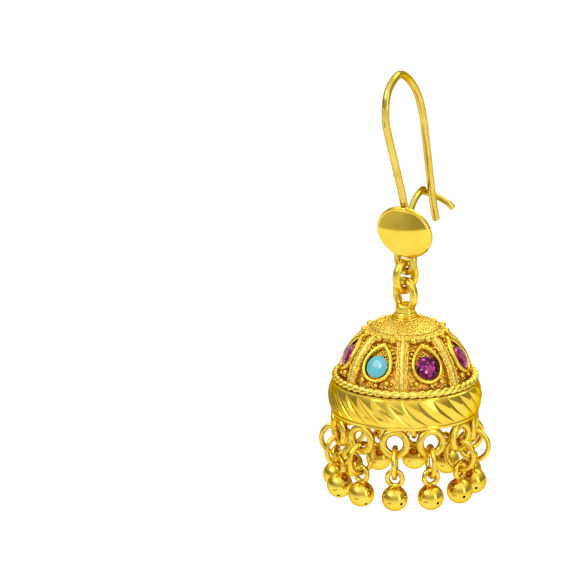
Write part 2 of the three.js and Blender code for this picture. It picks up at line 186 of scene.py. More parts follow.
def tube(shape, path, radius, sides):
    """A round wire along the path, with rounded ends."""
    ahead = np.gradient(path, axis=0)
    ahead /= np.linalg.norm(ahead, axis=1)[:, None]
    side = np.cross(ahead[0], [1, 0, 0] if abs(ahead[0][0]) < 0.9 else [0, 1, 0])
    angles = circle_angles(sides)
    end_angles = [math.radians(a) for a in (8, 30, 50, 70)]
    end_length = radius * 0.6
    rings = []

    def ring_at(centre, direction, reach):
        other = np.cross(direction, side)
        rings.append(centre + reach * (np.cos(angles)[:, None] * side + np.sin(angles)[:, None] * other))

    for i, centre in enumerate(path):
        side = side - np.dot(side, ahead[i]) * ahead[i]
        side /= np.linalg.norm(side)
        if i == 0:
            for a in end_angles:
                ring_at(centre - ahead[0] * end_length * math.cos(a), ahead[0], radius * math.sin(a))
        ring_at(centre, ahead[i], radius)
    for a in reversed(end_angles):
        ring_at(path[-1] + ahead[-1] * end_length * math.cos(a), ahead[-1], radius * math.sin(a))
    points = np.concatenate(rings)
    faces = grid_faces(len(rings), sides, False, True)
    faces += [tuple(range(sides))[::-1], tuple(range(len(points) - sides, len(points)))]
    return shape.add(points, faces)


def ring(shape, centre, size, angle, around=64, sides=24, narrow=1.0):
    """An upright ring of (hole, wire) whose hole looks along the -Y axis turned by the angle."""
    hole, wire = size
    u, v = np.meshgrid(circle_angles(around), circle_angles(sides), indexing="ij")
    phase = centre[0] * 3.1 + centre[1] * 1.7
    thick = wire / 2 * (1 - WOBBLE * (1 + np.sin(3 * u + phase) * np.cos(2 * v + phase)))
    reach = (hole + wire) / 2 + thick * np.cos(v)
    p = np.stack([narrow * reach * np.sin(u), -thick * np.sin(v), reach * np.cos(u)], -1).reshape(-1, 3)
    return shape.add(turn(p, angle) + np.asarray(centre), grid_faces(around, sides, True, True))


def ball(shape, centre, radius, around, rows, squash=1.0, up=None):
    """A round grain, with its flat way along up."""
    points, faces = [(0, 0, 1.0)], []
    for i in range(1, rows):
        a = i / rows * math.pi
        for j in range(around):
            b = j / around * 2 * math.pi
            points.append((math.sin(a) * math.cos(b), math.sin(a) * math.sin(b), math.cos(a)))
    points.append((0, 0, -1.0))
    last = len(points) - 1
    for j in range(around):
        k = (j + 1) % around
        faces.append((0, 1 + j, 1 + k))
        faces.append((last, last - around + k, last - around + j))
        for i in range(rows - 2):
            a = 1 + i * around
            faces.append((a + j, a + around + j, a + around + k, a + k))
    p = np.array(points) * [radius, radius, radius * squash]
    if up is not None:
        z = np.asarray(up, float) / np.linalg.norm(up)
        x = np.cross(z, [0.3, 0.2, 0.9])
        x /= np.linalg.norm(x)
        p = p @ np.stack([x, np.cross(z, x), z])
    return shape.add(p + np.asarray(centre), faces)


def lathe(shape, profile, around, closed=False, move=None):
    """A profile of (radius, height) turned about the upright, then moved by a function of its points."""
    points = np.array([polar(r, a, z) for r, z in profile for a in circle_angles(around)])
    return shape.add(move(points) if move else points, grid_faces(len(profile), around, closed, True))


def arc(radius, low, high, steps):
    """Points of (radius, height) on a sphere, between two latitudes in degrees."""
    return [(radius * math.cos(a), radius * math.sin(a)) for a in np.radians(np.linspace(low, high, steps))]


def to_setting(points, azimuth):
    """Turns points about the upright to the axis of a setting."""
    return turn(tip(points, math.pi / 2 - LATITUDE), azimuth)


def on_dome(points, azimuth):
    """Lays flat points on the dome: x across, y up and z out from the recessed floor."""
    p = np.asarray(points, float)
    out = np.sqrt(DOME ** 2 - p[:, 0] ** 2 - p[:, 1] ** 2)
    stretch = ((FLOOR + p[:, 2]) / DOME)[:, None]
    return to_setting(np.stack([p[:, 0], p[:, 1], out], 1) * stretch, azimuth)


# Materials

class Look:
    """A node tree with its shader, and the nodes that the looks are made of."""

    def __init__(self, tree, shader, coordinates="Object"):
        self.nodes, self.links = tree.nodes, tree.links
        self.shader = self.nodes[shader]
        self.where = self.nodes.new("ShaderNodeTexCoord").outputs[coordinates]

    def feed(self, source, socket):
        self.links.new(source, self.shader.inputs[socket])

    def noise(self, scale, detail=3.0, rough=0.5):
        node = self.nodes.new("ShaderNodeTexNoise")
        node.inputs["Scale"].default_value = scale
        node.inputs["Detail"].default_value = detail
        node.inputs["Roughness"].default_value = rough
        self.links.new(self.where, node.inputs["Vector"])
        return node.outputs["Fac"]

    def spread(self, source, low, high, low_out=0, high_out=1):
        """The source with low to high stretched to low_out to high_out."""
        node = self.nodes.new("ShaderNodeMapRange")
        values = {"From Min": low, "From Max": high, "To Min": low_out, "To Max": high_out}
        for socket, value in values.items():
            node.inputs[socket].default_value = value
        self.links.new(source, node.inputs["Value"])
        return node.outputs["Result"]

    def two_tone(self, factor, first, second):
        mix = self.nodes.new("ShaderNodeMix")
        mix.data_type = "RGBA"
        mix.inputs["A"].default_value = (*first, 1)
        mix.inputs["B"].default_value = (*second, 1)
        self.links.new(factor, mix.inputs["Factor"])
        self.feed(mix.outputs["Result"], "Base Color")

    def bump(self, height, depth, strength=1.0, after=None):
        """A bump of a depth in millimetres, on top of the one it comes after."""
        node = self.nodes.new("ShaderNodeBump")
        node.inputs["Distance"].default_value = depth * MM
        node.inputs["Strength"].default_value = strength
        self.links.new(height, node.inputs["Height"])
        if after:
            self.links.new(after, node.inputs["Normal"])
        self.feed(node.outputs["Normal"], "Normal")
        return node.outputs["Normal"]


def material(name, roughness, metallic, base, build, **sockets):
    m = bpy.data.materials.new(name)
    m.use_nodes = True
    look = Look(m.node_tree, "Principled BSDF")
    values = {"Base Color": (*base, 1), "Roughness": roughness, "Metallic": metallic}
    values.update((socket.replace("_", " "), value) for socket, value in sockets.items())
    for socket, value in values.items():
        look.shader.inputs[socket].default_value = value
    build(look)
    return m


GOLD, DEEP_GOLD = (0.82, 0.595, 0.08), (0.76, 0.51, 0.05)
EDGE = (0.6, 0.35, 0.04, 1)  # the metals' tint where they are seen edge-on


def gold(name, roughness, tones, wave, grain, rough_range, base=GOLD):
    """A metal of two tones, with slow waves and fine grain, each as a scale and a depth in millimetres."""
    def build(look):
        (wave_scale, wave_depth), (grain_scale, grain_depth) = wave, grain
        slow, fine = look.noise(wave_scale), look.noise(grain_scale, 4)
        look.two_tone(look.spread(slow, 0.35, 0.65), *tones)
        look.feed(look.spread(fine, 0.3, 0.7, *rough_range), "Roughness")
        normal = look.bump(slow, wave_depth)
        look.bump(fine, grain_depth, after=normal)
    return material(name, roughness, 1, base, build, Specular_Tint=EDGE)


BOTH = (GOLD, DEEP_GOLD)
# The ear wire gets a darker copy of the gold: painted shade, for the darker reflections along the wire.
shaded_wire_gold = gold("wire_gold_look", 0.12, ((0.7, 0.55, 0.12), (0.58, 0.42, 0.06)),
                 (380, 0.05), (5200, 0.0016), (0.07, 0.2), base=(0.68, 0.52, 0.1))
mirror = gold("mirror_gold_look", 0.07, BOTH, (420, 0.006), (5200, 0.0012), (0.04, 0.1))
polished = gold("polished_gold_look", 0.1, BOTH, (420, 0.05), (5200, 0.0016), (0.06, 0.16))
cast = gold("cast_gold_look", 0.2, BOTH, (1100, 0.06), (6500, 0.008), (0.14, 0.3))
granulated = gold("granulated_gold_look", 0.3, ((0.86, 0.67, 0.16), (0.68, 0.48, 0.08)),
                  (2300, 0.14), (8000, 0.035), (0.2, 0.42))
grainy = gold("grain_gold_look", 0.22, ((0.88, 0.68, 0.13), (0.8, 0.58, 0.08)),
              (1100, 0.05), (6500, 0.008), (0.16, 0.3), base=(0.85, 0.65, 0.12))


def recess_shade_nodes(look):
    """The stippled floor between the straps, in patches of gold and deep orange. The orange and its darker
    tone are painted shade and painted reflection, for the shade and the orange inter-reflections down in the
    recess.
    """
    cells = look.nodes.new("ShaderNodeTexVoronoi")
    cells.inputs["Scale"].default_value = 4200
    look.links.new(look.where, cells.inputs["Vector"])
    patches = look.noise(1100, 4, 0.6)
    look.two_tone(look.spread(patches, 0.38, 0.62), (0.97, 0.66, 0.12), (0.88, 0.38, 0.045))
    normal = look.bump(cells.outputs["Distance"], 0.09, 0.9)
    look.bump(look.noise(9000, 4), 0.02, after=normal)


# The recessed floor's deep orange, darker than the other gold, is painted shade and painted reflection.
recessed = material("recessed_gold_painted_shade_look", 0.38, 1, (0.86, 0.44, 0.06), recess_shade_nodes, Specular_Tint=EDGE)


def turquoise_nodes(look):
    look.two_tone(look.spread(look.noise(700, 5, 0.55), 0.3, 0.7), (0.07, 0.37, 0.44), (0.12, 0.45, 0.53))
    look.feed(look.spread(look.noise(5000, 3), 0.3, 0.7, 0.1, 0.18), "Roughness")
    look.bump(look.noise(1500, 3), 0.01)


turquoise = material("turquoise_look", 0.18, 0, (0.1, 0.41, 0.49), turquoise_nodes,
                     Coat_Weight=0.35, Coat_Roughness=0.05)


def facet_nodes(tint):
    lighter = tuple(min(1, c * 1.4 + 0.005) for c in tint)

    def build(look):
        look.two_tone(look.spread(look.noise(1400, 2), 0.35, 0.65), tint, lighter)
        look.feed(look.spread(look.noise(6000, 2), 0.3, 0.7, 0.03, 0.09), "Roughness")
        look.bump(look.noise(2500, 2), 0.003)
    return build


def facet_light_and_shade_looks(name, tints):
    """One look for each tint that the facets of a stone are shared out to. The tints are dark to light copies
    of the stone's colour: painted shade and painted highlights of the facets.
    """
    return [material(f"{name}_{i}_look", 0.06, 0.85, tint, facet_nodes(tint),
                     Coat_Weight=0.1, Coat_Roughness=0.03) for i, tint in enumerate(tints)]


# Dark to light copies of each stone's colour: painted shade, and in the lightest tint painted highlights.
magenta = facet_light_and_shade_looks("magenta", [
    (0.04, 0.001, 0.012), (0.09, 0.002, 0.04), (0.17, 0.008, 0.09), (0.5, 0.12, 0.4)])
pink = facet_light_and_shade_looks("pink", [
    (0.12, 0.002, 0.025), (0.28, 0.01, 0.085), (0.46, 0.035, 0.2), (0.75, 0.22, 0.48)])
LIGHT_AND_SHADE_SHARES = [0.32, 0.36, 0.27, 0.05]


def mottled(scale, first, second):
    return lambda look: look.two_tone(look.noise(scale, 2), first, second)


# Ear wire with its catch and bail, the disc in front of it, and the jump link

def behind_disc(along, behind):
    """A point up the disc's face by along and behind its middle plane by behind."""
    return (0, DISC_BACK - along * math.sin(DISC_TILT) + behind * math.cos(DISC_TILT),
            DISC_Z + along * math.cos(DISC_TILT) + behind * math.sin(DISC_TILT))


ear_wire = Shape()
seat = (DISC_THICK + WIRE) / 2 - SOLDER
route = [(0, back * WIRE_DEPTH, WIRE_FOOT + up * WIRE_HEIGHT) for back, up in WIRE_ROUTE]
foot = [behind_disc(-FOOT_REACH * DISC / 2, seat + FOOT_LIFT), behind_disc(0, seat)]
tube(ear_wire, smooth_route(foot + route, 220), WIRE / 2, 24)
start, free_end = route[0], route[-2]
catch_reach = (WIRE + CATCH) / 2 + CATCH_GAP
catch = [(side * catch_reach, start[1] + back * (free_end[1] - start[1]), start[2] + up * CATCH_DROP)
         for side, back, up in CATCH_ROUTE]
tube(ear_wire, smooth_route(catch, 120), CATCH / 2, 20)
ring(ear_wire, CHAIN + [0, 0, BAIL_Z], BAIL, CHAIN_TURN, narrow=CHAIN_NARROW)
ear_wire.piece("ear_wire_look", shaded_wire_gold, "hook", "polished_gold", ["ear_hook"])

disc = Shape()
half, edge = DISC_THICK / 2, DISC / 2
disc_front = [(edge * s, half + DISC_CROWN * (1 - s ** 2)) for s in np.linspace(0.002, 0.955, 26)]
disc_rim = [(edge - DISC_ROUNDING + DISC_ROUNDING * math.sin(a),
             half - DISC_ROUNDING + DISC_ROUNDING * math.cos(a)) for a in np.radians(range(15, 91, 15))]
disc_back = [(edge - DISC_ROUNDING + DISC_ROUNDING * math.cos(a),
              -half + DISC_ROUNDING - DISC_ROUNDING * math.sin(a)) for a in np.radians(range(0, 91, 15))]
lathe(disc, disc_front + disc_rim + disc_back + [(0.002, -half)], 128,
      move=lambda points: tip(points, math.pi / 2 + DISC_TILT))
disc.piece("ear_disc_look", mirror, "hook", "polished_gold", at=(0, DISC_BACK, DISC_Z))

jump_link = ring(Shape(), CHAIN + [0, 0, LINK_Z], LINK, CHAIN_TURN + math.pi / 2, narrow=CHAIN_NARROW)
jump_link.piece("jump_link_look", cast, "link", "polished_gold", ["jump_link"])

# Dome: the shell with its recessed floor, then the cap, and the stem with its top ring

shell = Shape()
lathe(shell, arc(FLOOR, 2, 55, 44) + arc(INNER, 89.9, 2, 40), 140)
shell.piece("dome_floor_look", recessed, "bell", "cast_gold", ["bell"], at=BELL)

CAP, CAP_STEP, CAP_RAISE = 4.6, 4.02, 0.1


def cap_height(radius):
    return math.sqrt(DOME ** 2 - radius ** 2)


cap = Shape()
cap_profile = [(CAP - 0.25, cap_height(CAP) - 0.9), (CAP - 0.02, cap_height(CAP) - 0.35),
               (CAP, cap_height(CAP) - 0.14), (CAP - 0.08, cap_height(CAP) + 0.02)]
cap_profile += [(r, cap_height(r)) for r in np.linspace(CAP - 0.2, CAP_STEP + 0.06, 6)]
cap_profile += [(CAP_STEP, cap_height(CAP_STEP) + 0.05), (CAP_STEP - 0.03, cap_height(CAP_STEP) + 0.08)]
cap_profile += [(r, cap_height(r) + CAP_RAISE) for r in np.linspace(CAP_STEP - 0.16, 1.3, 20)]
lathe(cap, cap_profile, 160)
cap.piece("cap_look", granulated, "bell", "cast_gold", at=BELL)

stem = Shape()
STEM_PROFILE = [  # its foot on the cap, three rolls, and the neck under the top ring
    (1.62, 7.95), (1.65, 8.1), (1.65, 8.2), (1.6, 8.28), (1.45, 8.3), (1.38, 8.31), (1.38, 8.34),
    (1.44, 8.41), (1.41, 8.5), (1.31, 8.52), (1.29, 8.55), (1.35, 8.62), (1.32, 8.7), (1.23, 8.72),
    (1.2, 8.8), (1.17, 9.0), (1.15, 9.25), (1.14, 9.45), (1.1, 9.62), (1.0, 9.76), (0.8, 9.87),
    (0.45, 9.93), (0.01, 9.95)]
lathe(stem, STEM_PROFILE, 72)
ring(stem, (0, 0, STEM_RISE), TOP_RING, CHAIN_TURN, narrow=CHAIN_NARROW)
stem.piece("stem_look", cast, "bell", "cast_gold", at=BELL)

# Cap granules, in a random order that doesn't change. Sizes are radii.

random = np.random.default_rng(7)
CAP_GRAINS, CAP_GRAIN_GAP, NEIGHBOURS = 520, 0.26, 260
GRAIN_RING = (1.72, 4.46)
SMALL_GRAIN, LARGE_GRAIN, LARGE_SHARE = (0.08, 0.14), (0.17, 0.23), 0.14
BORDER_GRAINS, BORDER_GRAIN, BORDER_SINK = 110, (0.12, 0.19), 0.04
LIP, LIP_GRAINS, LIP_GRAIN = 0.08, 70, (0.08, 0.15)
BEAD, BEAD_RING, BEAD_TURN = 0.44, 4.78, 11


def grain(shape, place, sizes):
    """A fine round grain, of a random size."""
    ball(shape, place, random.uniform(*sizes), 10, 6)


cap_grains, beads = Shape(), Shape()
places = []
while len(places) < CAP_GRAINS:
    radius = math.sqrt(random.uniform(GRAIN_RING[0] ** 2, GRAIN_RING[1] ** 2))
    x, y, _ = polar(radius, random.uniform(0, 2 * math.pi), 0)
    free = all((x - a) ** 2 + (y - b) ** 2 > CAP_GRAIN_GAP ** 2 for a, b in places[-NEIGHBOURS:])
    if abs(radius - CAP_STEP) > 0.2 and free:
        places.append((x, y))
for x, y in places:
    radius = math.hypot(x, y)
    size = random.uniform(*LARGE_GRAIN) if random.random() < LARGE_SHARE else random.uniform(*SMALL_GRAIN)
    height = cap_height(radius) + (CAP_RAISE if radius < CAP_STEP - 0.1 else 0)
    ball(cap_grains, (x, y, height + size * 0.1), size, 10, 6, 0.8, (x, y, height))
for i in range(BORDER_GRAINS):
    angle = i / BORDER_GRAINS * 2 * math.pi + random.uniform(-0.015, 0.015)
    radius = CAP - 0.06
    grain(cap_grains, polar(radius, angle, cap_height(radius) - BORDER_SINK), BORDER_GRAIN)
lip_height = cap_height(CAP_STEP) + 0.09
lathe(cap_grains, [(CAP_STEP + LIP * math.cos(a), lip_height + LIP * math.sin(a))
                   for a in np.radians(range(0, 360, 30))], 160, closed=True)
for _ in range(LIP_GRAINS):
    angle = random.uniform(0, 2 * math.pi)
    grain(cap_grains, polar(CAP_STEP, angle, cap_height(CAP_STEP) + CAP_RAISE), LIP_GRAIN)
for i in range(SECTORS):
    for aside in (-BEAD_TURN, BEAD_TURN):
        angle = SECTOR_TURN + i * 2 * math.pi / SECTORS + math.radians(aside)
        ball(beads, polar(BEAD_RING, angle, cap_height(BEAD_RING) + 0.02), BEAD, 20, 14)
cap_grains.piece("cap_granules_look", grainy, "bell", "cast_gold", at=BELL)
beads.piece("cap_beads_look", polished, "bell", "cast_gold", at=BELL)

# Straps, each with two rows of grains on both sides

STRAP_SECTION = [  # across and out, from one foot over the two edges and the crown to the other foot
    (-0.5, 7.2), (-0.5, 7.9), (-0.47, 7.98), (-0.4, 8.03), (-0.32, 8.0), (-0.28, 8.02), (-0.22, 8.12),
    (-0.1, 8.17), (0, 8.18), (0.1, 8.17), (0.22, 8.12), (0.28, 8.02), (0.32, 8.0), (0.4, 8.03), (0.47, 7.98),
    (0.5, 7.9), (0.5, 7.2)]
STRAP_LATITUDES = np.radians(np.linspace(6, 58, 40))
FOOT_GRAIN, EDGE_GRAIN = (0.12, 0.19), (0.07, 0.13)
FOOT_ROW, EDGE_ROW = (30, 10, 1.5), (38, 9, 1.2)  # count, first latitude and step in degrees


def meridian(azimuth, across, radius, latitude):
    """A point beside a meridian of the dome."""
    level = math.sqrt(radius ** 2 - across ** 2)
    return turn([(across, -level * math.cos(latitude), level * math.sin(latitude))], azimuth)[0]


straps, strap_grains = Shape(), Shape()
for i in range(SECTORS):
    azimuth = SECTOR_TURN + (i + 0.5) * 2 * math.pi / SECTORS
    points = [meridian(azimuth, *at, latitude) for latitude in STRAP_LATITUDES for at in STRAP_SECTION]
    straps.add(points, grid_faces(len(STRAP_LATITUDES), len(STRAP_SECTION), False, False))
    for side in (-1, 1):
        count, first, step = FOOT_ROW
        for k in range(count):
            across, radius = 0.58 + random.uniform(-0.05, 0.06), 7.88 + random.uniform(-0.08, 0.06)
            latitude = math.radians(first + k * step)
            grain(strap_grains, meridian(azimuth, side * across, radius, latitude), FOOT_GRAIN)
        count, first, step = EDGE_ROW
        for k in range(count):
            across, radius = random.uniform(0.34, 0.48), 8.02 + random.uniform(-0.03, 0.04)
            latitude = math.radians(first + k * step)
            grain(strap_grains, meridian(azimuth, side * across, radius, latitude), EDGE_GRAIN)
strap_grains.piece("strap_granules_look", grainy, "bell", "cast_gold", at=BELL)
straps.piece("straps_look", granulated, "bell", "cast_gold", at=BELL, sharp=60)

# Settings, and the grains around and inside them

FULLNESS = 0.95  # of a teardrop's sides
TIP_AT = POINT / OPENING
RIM_SECTION = [  # off the rim's middle line and out from the floor, from the stone's side to the outside
    (-0.16, -0.35), (-0.17, 0.5), (-0.15, 0.64), (-0.09, 0.73), (-0.01, 0.78), (0.06, 0.79), (0.13, 0.77),
    (0.21, 0.72), (0.29, 0.61), (0.34, 0.45), (0.36, -0.35)]
CORNER_GRAINS = [  # across, up, radius and rise
    (-1.66, -1.82, 0.35, 0.42), (1.66, -1.82, 0.35, 0.42), (0.28, -2.3, 0.3, 0.36), (-2.2, -1.85, 0.2, 0.2),
    (2.2, -1.85, 0.2, 0.2), (-0.7, -2.5, 0.18, 0.15), (1.1, -2.45, 0.17, 0.15), (-1.2, -2.5, 0.15, 0.12),
    (-2.05, -0.8, 0.17, 0.25), (2.08, -0.7, 0.17, 0.25), (-1.55, 2.0, 0.21, 0.3), (1.55, 2.0, 0.21, 0.3),
    (-1.2, 2.4, 0.2, 0.32), (1.2, 2.4, 0.2, 0.32), (-1.85, 1.45, 0.18, 0.3), (1.85, 1.45, 0.18, 0.3),
    (-1.65, 2.5, 0.17, 0.25), (1.65, 2.5, 0.17, 0.25), (-0.8, 2.85, 0.17, 0.35), (0.8, 2.85, 0.17, 0.35),
    (-2.0, 0.9, 0.15, 0.25), (2.0, 0.9, 0.15, 0.25), (-2.05, 0.3, 0.14, 0.25), (2.05, 0.3, 0.14, 0.25)]
TIP_GRAINS = [  # across, up and radius
    (0, 2.08, 0.17), (-0.24, 1.86, 0.16), (0.24, 1.84, 0.17), (-0.55, 1.6, 0.15), (0, 1.6, 0.18),
    (0.56, 1.6, 0.15), (-0.86, 1.28, 0.12), (0.88, 1.28, 0.12), (-0.3, 1.52, 0.13), (0.32, 1.5, 0.13)]
TIP_GRAIN_RISE = 0.16
SCATTER_TRIES, SCATTER_GRAIN, SECTOR_HALF = 90, (0.07, 0.14), 2.75


def teardrop():
    """A teardrop of radius 1 about the stone, with full sides and a blunt tip."""
    sides = np.linspace(0, 1, 26)
    points = [(math.cos(a), math.sin(a)) for a in np.linspace(math.pi, 2 * math.pi, 44)]
    points += [((1 - t ** 2) ** FULLNESS, t * TIP_AT) for t in sides[1:-1]]
    points += [(0, TIP_AT)]
    points += [(-((1 - t ** 2) ** FULLNESS), t * TIP_AT) for t in sides[::-1][1:-1]]
    points = np.array(points)
    for _ in range(2):
        points = 0.5 * points + 0.25 * (np.roll(points, 1, 0) + np.roll(points, -1, 0))
    return points


def in_setting(x, y):
    """Whether a flat point of a sector lies in its teardrop or too near it for a grain."""
    if y < 0:
        return math.hypot(x, y) < 2.0
    return y < 3.0 and abs(x) < 0.3 + 1.75 * max(0.0, 1 - (y / 2.95) ** 2) ** FULLNESS


outline = teardrop()
settings, corner_grains, scatter, tip_grains = Shape(), Shape(), Shape(), Shape()
for i in range(SECTORS):
    azimuth = SECTOR_TURN + i * 2 * math.pi / SECTORS
    middle = OPENING + RIM / 2
    points = [(x * (middle + off), y * (middle + off), z) for x, y in outline for off, z in RIM_SECTION]
    settings.add(on_dome(points, azimuth), grid_faces(len(outline), len(RIM_SECTION), True, False))
    for x, y, size, rise in CORNER_GRAINS:
        ball(corner_grains, on_dome([(x, y, rise)], azimuth)[0], size, 14, 10)
    for _ in range(SCATTER_TRIES):
        x, y = random.uniform(-SECTOR_HALF, SECTOR_HALF), random.uniform(-2.9, 3.3)
        if not in_setting(x, y) and abs(x) < SECTOR_HALF - 0.3 * max(0, y):
            grain(scatter, on_dome([(x, y, random.uniform(0.0, 0.07))], azimuth)[0], SCATTER_GRAIN)
    for x, y, size in TIP_GRAINS:
        ball(tip_grains, on_dome([(x, y, TIP_GRAIN_RISE)], azimuth)[0], size, 12, 8)
settings.piece("settings_look", cast, "bell", "cast_gold", at=BELL, sharp=70)
corner_grains.piece("granules_look", polished, "bell", "cast_gold", at=BELL)
scatter.piece("scatter_look", grainy, "bell", "cast_gold", at=BELL)
tip_grains.piece("setting_tips_look", grainy, "bell", "cast_gold", at=BELL)

# Rope

ROPE_RADIUS, ROPE, ROPE_RISE, STRANDS = 8.17, 0.49, 1.12, 50
ROPE_AROUND, ROPE_SIDES = STRANDS * 14, 24
u, v = np.meshgrid(circle_angles(ROPE_AROUND), circle_angles(ROPE_SIDES), indexing="ij")
lobe = np.abs(np.cos(STRANDS / 2 * (u - math.pi / STRANDS * 1.1 * np.sin(v))))
rope_thick = ROPE * (1.01 - 0.55 * (1 - lobe ** 0.42))
rope_reach = ROPE_RADIUS + rope_thick * np.cos(v)
rope = Shape()
rope.add(np.stack([rope_reach * np.cos(u), rope_reach * np.sin(u), rope_thick * np.sin(v) + ROPE_RISE], -1)
         .reshape(-1, 3), grid_faces(ROPE_AROUND, ROPE_SIDES, True, True))
rope.piece("rope_look", grainy, "bell", "cast_gold", at=BELL)

# Band

FLUTES, FLUTE_DEPTH, FLUTE_LEAN = 29, 0.27, math.radians(-21)
FLUTE_TOP, FLUTE_BOTTOM = BAND_TOP - 0.25, BAND_BOTTOM + 0.5
FLUTE_POINTS = [-1.0, -0.83, -0.66, -0.5, -0.35, -0.1, 0.2, 0.5, 0.78, 1.0]
FLUTE_DEEPEST = -0.35
BAND_TOP_RADIUS, BAND_BOTTOM_RADIUS, BAND_WIDEST = 8.52, 8.72, 9.08


def band_radius(height):
    """The band's outer radius between its flutes."""
    share = (BAND_TOP - height) / (BAND_TOP - BAND_BOTTOM)
    bulge = BAND_WIDEST - (BAND_TOP_RADIUS + BAND_BOTTOM_RADIUS) / 2
    straight = BAND_TOP_RADIUS + (BAND_BOTTOM_RADIUS - BAND_TOP_RADIUS) * share
    return straight + bulge * max(0.0, math.sin(math.pi * min(1, share * 1.12))) ** 0.8


def fluted_row(share):
    """A row of points round the band, at a share of the flutes' height."""
    height = FLUTE_BOTTOM + (FLUTE_TOP - FLUTE_BOTTOM) * share
    swell = max(0.04, math.sin(math.pi * share) ** 0.85)
    depth = FLUTE_DEPTH * math.sin(math.pi * share) ** 0.8
    row = []
    for flute in range(FLUTES):
        cuts = []
        for a in FLUTE_POINTS:
            near = (a + 1) / (1 + FLUTE_DEEPEST) if a < FLUTE_DEEPEST else (1 - a) / (1 - FLUTE_DEEPEST)
            cuts.append((flute + 0.5 + a * 0.46 * swell, depth * near ** 1.15))
        for place, cut in cuts + [(flute + 1.0, 0.0)]:
            angle = place / FLUTES * 2 * math.pi + FLUTE_LEAN * (share - 0.5)
            row.append(polar(band_radius(height) - cut, angle, height))
    return row


rows = [fluted_row(share) for share in np.linspace(0, 1, 44)]


def plain_row(radius, height):
    """A row of the band outside its flutes, with the same columns as the nearest fluted row."""
    near = rows[0] if height < FLUTE_BOTTOM else rows[-1]
    return [(radius * x / math.hypot(x, y), radius * y / math.hypot(x, y), height) for x, y, _ in near]


BAND_INSIDE_AND_FOOT = [
    (7.85, 0.4), (7.83, -1.0), (7.82, -3.1), (7.9, -3.19), (8.3, BAND_BOTTOM), (8.62, -3.19), (8.7, -3.14),
    (8.74, -3.05), (8.76, -2.86), (band_radius(-2.76), -2.76)]
BAND_HEAD = [(band_radius(0.46), 0.46), (8.56, 0.53), (8.54, 0.6), (8.49, 0.65), (8.44, 0.65), (8.4, 0.55),
             (8.34, 0.4), (7.4, 0.4)]
rows = [plain_row(*p) for p in BAND_INSIDE_AND_FOOT] + rows + [plain_row(*p) for p in BAND_HEAD]
band = Shape().add([point for row in rows for point in row], grid_faces(len(rows), len(rows[0]), False, True))
band.piece("band_look", polished, "bell", "cast_gold", at=BELL, sharp=15)

# Stones

STONE_FOOT = FLOOR + 0.15
GIRDLE = STONE_FOOT + 0.62 * 0.42
CABOCHON = OPENING * (GIRDLE / DOME) - 0.15
CRYSTAL = CABOCHON + 0.05
KINDS = ["turquoise", "magenta", "pink", "pink", "turquoise", "magenta", "pink"]
CABOCHON_FOOT = [(0.01, 0.01), (CABOCHON * 0.88, 0.01), (CABOCHON * 0.97, 0.07), (CABOCHON, 0.18)]
CABOCHON_CROWN = [(CABOCHON * math.cos(a), 0.2 + 0.47 * math.sin(a))
                  for a in np.radians(np.linspace(3, 89.8, 24))]
FACETS = 16
CRYSTAL_ROWS = [  # share of the radius, height, and share of a facet that the row is turned by
    (0.62, 0.0, 0.0), (0.98, 0.24, 0.0), (1.0, 0.29, 0.0), (1.0, 0.33, 0.0), (0.84, 0.48, 0.5),
    (0.6, 0.6, 0.0), (0.3, 0.605, 0.5)]
CRYSTAL_HEIGHT = 0.607


def cut_stone(shape, azimuth):
    """A round stone with facets between each two rows of points, and a fan of facets on its table."""
    points = []
    for share, height, shift in CRYSTAL_ROWS:
        for k in range(FACETS):
            a = (k + shift) / FACETS * 2 * math.pi
            points.append((CRYSTAL * share * math.cos(a), CRYSTAL * share * math.sin(a), STONE_FOOT + height))
    points.append((0, 0, STONE_FOOT + CRYSTAL_HEIGHT))
    faces = [tuple(range(FACETS))[::-1]]
    for i, (low, high) in enumerate(zip(CRYSTAL_ROWS, CRYSTAL_ROWS[1:])):
        for k in range(FACETS):
            a, b = i * FACETS + k, i * FACETS + (k + 1) % FACETS
            c, d = a + FACETS, b + FACETS
            if low[2] == high[2]:
                faces.append((a, b, d, c))
            elif high[2] > low[2]:
                faces += [(a, b, c), (c, b, d)]
            else:
                faces += [(a, d, c), (a, b, d)]
    table = len(points) - 1 - FACETS
    faces += [(table + k, table + (k + 1) % FACETS, len(points) - 1) for k in range(FACETS)]
    return shape.add(to_setting(points, azimuth), faces)


numbers = {"turquoise": 0, "crystal": 0}
for i, kind in enumerate(KINDS):
    azimuth = SECTOR_TURN + i * 2 * math.pi / SECTORS
    family = "turquoise" if kind == "turquoise" else "crystal"
    numbers[family] += 1
    name, node = f"{family}_look_{numbers[family]}", f"{family}_{numbers[family]}"
    if kind == "turquoise":
        stone = lathe(Shape(), CABOCHON_FOOT + CABOCHON_CROWN, 72,
                      move=lambda points: to_setting(points + [0, 0, STONE_FOOT], azimuth))
        stone.piece(name, turquoise, "bell", "turquoise", [node], at=BELL)
        continue
    tints = magenta if kind == "magenta" else pink
    stone = cut_stone(Shape(), azimuth).piece(name, tints[0], "bell", "pink_crystal", [node], at=BELL)
    for tint in tints[1:]:
        stone.data.materials.append(tint)
    # Each facet gets a dark or light copy at random: painted shade and painted highlights.
    chosen = random.choice(len(tints), len(stone.data.polygons), p=LIGHT_AND_SHADE_SHARES)
    stone.data.polygons.foreach_set("material_index", chosen.tolist())
    stone.data.polygons.foreach_set("use_smooth", [False] * len(stone.data.polygons))

# Rim rings, drop links and ball drops. Each ball has a small vent hole.

